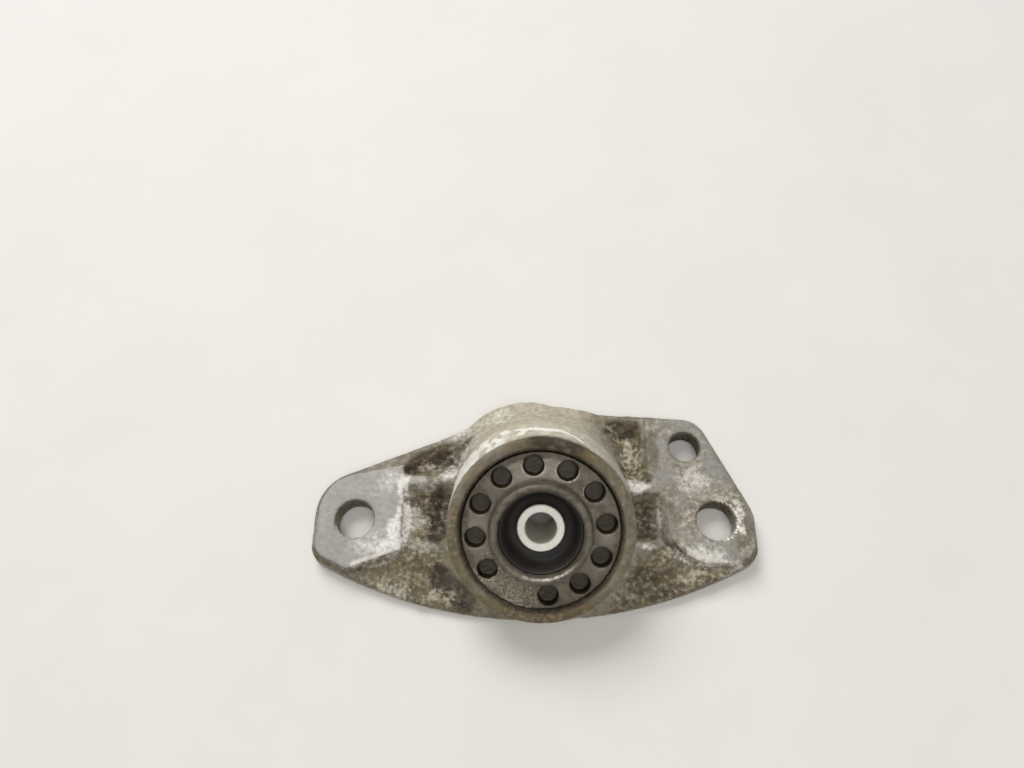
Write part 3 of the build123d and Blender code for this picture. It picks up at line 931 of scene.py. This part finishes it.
# %% Section of the bush
# Each pair is a distance from the axis and a height along it, in mm
HIDDEN_RUNS = np.array([
    (7.8, 30.4), (7.8, 25.6), (16.5, 25.6), (16.5, 23.1), (7.8, 23.1), (7.8, 11.1),
])
NECK = np.array([
    (7.8, 11.1), (9.6, 10.9), (10.9, 11.5), (11.1, 13.4), (12.1, 15.8), (14.4, 17.6),
    (17.4, 19.1),
])
SEAT_RUNS = np.array([(17.5, 19.1), (25.0, 19.1), (25.0, 29.6), (13.7, 29.6), (13.7, 37.9)])
FUNNEL = np.array([
    (13.7, 38.0), (13.5, 38.5), (13.0, 38.5), (12.6, 37.6), (12.3, 35.8), (11.9, 33.9),
    (11.2, 32.3), (10.1, 31.2), (8.9, 30.7), (7.8, 30.4),
])
PER_RUN = 4


def free_curve(corners):
    """Points on a Catmull-Rom curve through the corners: each run is the cubic that leaves and
    reaches its ends with half the step between their neighbours."""
    ends = np.vstack([corners[0], corners, corners[-1]])
    t = np.linspace(0, 1, PER_RUN, endpoint=False)[:, None]
    runs = []
    for a, b, c, d in zip(ends, ends[1:], ends[2:], ends[3:]):
        bend = 2 * a - 5 * b + 4 * c - d + t * (3 * b - a - 3 * c + d)
        runs.append(b + 0.5 * t * (c - a + t * bend))
    return np.vstack(runs + [corners[-1:]])


section = np.vstack([HIDDEN_RUNS[:-1], free_curve(NECK), SEAT_RUNS, free_curve(FUNNEL)[:-1]])
print("the section has", len(section), "points")

# %% Bush
ROUND = 144
WAVE_MM = 0.02


def turned_surface(name, section):
    """A closed line of (radius, height) carried round the axis. The radius has a wave of a few
    hundredths of a millimetre: radius + WAVE_MM * sin(3 * angle + height)."""
    angles = np.linspace(0, 360, ROUND, endpoint=False)
    wave = WAVE_MM * np.sin(3 * np.radians(angles) + section[:, None, 1])
    grid = from_axis(section[:, None, 1], section[:, None, 0] + wave, angles[None, :])
    rows, columns = grid.shape[:2]
    index = np.arange(rows * columns).reshape(rows, columns)
    beside, below = np.roll(index, -1, axis=1), np.roll(index, -1, axis=0)
    across = np.roll(below, -1, axis=1)
    faces = np.stack([index, beside, across, below], axis=-1).reshape(-1, 4)
    mesh = bpy.data.meshes.new(name)
    mesh.from_pydata((grid.reshape(-1, 3) * MM).tolist(), [], faces.tolist())
    mesh.polygons.foreach_set("use_smooth", np.ones(len(faces), dtype=bool))
    piece = bpy.data.objects.new(name, mesh)
    scene.collection.objects.link(piece)
    print(name, len(faces), "faces")
    return piece


bush = turned_surface("bush_moulded", section)

# %% [markdown]
# ## Moulded rubber
# Natural rubber that is filled with carbon black is nearly black and a little brown. A
# mould leaves it smooth but not polished, so it shows broad, weak highlights, and fine dust
# on it breaks them up.

# %% Material of the rubber
# Moulded natural rubber: the eye gets a deep, soft black that hides the bottom of the funnel
material, tree, place = new_material("natural_rubber_moulded")
tone = add_node(
    tree, "ShaderNodeMix",
    {"Factor": blotches(tree, place, 5.0), "A": "#17130f", "B": "#241e19"}, data_type="RGBA",
)
relief = add_node(
    tree, "ShaderNodeBump",
    {"Height": blotches(tree, place, 0.6), "Distance": 0.04 * MM, "Strength": 0.5},
)
dress(bush, material, tree, {"Base Color": tone, "Roughness": 0.6, "Normal": relief})
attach(bush, "root")
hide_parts("rubber_bush")
print("nodes of the rubber:", len(tree.nodes))

# %% [markdown]
# ## The steel sleeve
# The sleeve is turned from steel. Its end is the brightest thing on the object because the
# washer of the damper kept it clean, while its bore is coated with dust and painted in a
# near-white tone, as painted light for the light that comes through the bore. The
# material turns and moves the object's coordinates to the axis of the cup, where the
# distance from the axis tells the bore from the end.

# %% Places on the sleeve
CLEAN_FROM = 32.4
BORE = 5.1
# Turned steel: the eye gets a bright, plain end with a soft gleam, and a dull bore with
# painted light
material, tree, place = new_material("turned_steel")
foot = Matrix.Rotation(-TILT, 3, "X") @ Vector(FOOT * MM)
local = add_node(
    tree, "ShaderNodeMapping",
    {"Vector": place, "Rotation": (-TILT, 0, 0), "Location": tuple(-foot)},
)
along = add_node(tree, "ShaderNodeSeparateXYZ", {"Vector": local}, output="Z")
flattened = add_node(
    tree, "ShaderNodeVectorMath", {0: local, 1: (1, 1, 0)}, operation="MULTIPLY",
)
reach = add_node(
    tree, "ShaderNodeVectorMath", {0: flattened}, operation="LENGTH", output="Value",
)
at_end = add_node(
    tree, "ShaderNodeMapRange",
    {"Value": along, "From Min": CLEAN_FROM * MM, "From Max": (CLEAN_FROM + 0.4) * MM},
)
out_of_bore = add_node(
    tree, "ShaderNodeMapRange",
    {"Value": reach, "From Min": (BORE + 0.05) * MM, "From Max": (BORE + 0.25) * MM},
)
clean = add_node(tree, "ShaderNodeMath", {0: at_end, 1: out_of_bore}, operation="MULTIPLY")
print("the sleeve is clean from a height of", CLEAN_FROM, "mm, outside", BORE, "mm")

# %% Material of the sleeve
# Turning marks are a tenth of a millimetre wide, too fine to show, and are drawn wider
TURNING = 0.5
marks = add_node(
    tree, "ShaderNodeTexWave",
    {"Vector": local, "Scale": WAVE_PERIOD / (TURNING * MM), "Distortion": 0.4},
    output="Fac", wave_type="RINGS", rings_direction="Z",
)
# The pale tone of the bore is dust and painted light
dust_and_light, bright = (
    add_node(
        tree, "ShaderNodeMix", {"Factor": blotches(tree, place, size), "A": deep, "B": pale},
        data_type="RGBA",
    )
    for size, deep, pale in ((2.5, "#d6d0c2", "#e6e1d5"), (1.2, "#f1ece0", "#fbf7ec"))
)
colour = dust_and_light
for share, tone in ((out_of_bore, "#5d584f"), (clean, bright)):
    colour = add_node(
        tree, "ShaderNodeMix", {"Factor": share, "A": colour, "B": tone}, data_type="RGBA",
    )
relief = add_node(
    tree, "ShaderNodeBump", {"Height": marks, "Distance": 0.02 * MM, "Strength": 0.3},
)
metallic = add_node(tree, "ShaderNodeMath", {0: clean, 1: 0.25}, operation="MULTIPLY")
dress(
    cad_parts["inner_sleeve"], material, tree,
    {"Base Color": colour, "Metallic": metallic, "Roughness": 0.45, "Normal": relief},
)
print("nodes of the steel:", len(tree.nodes))
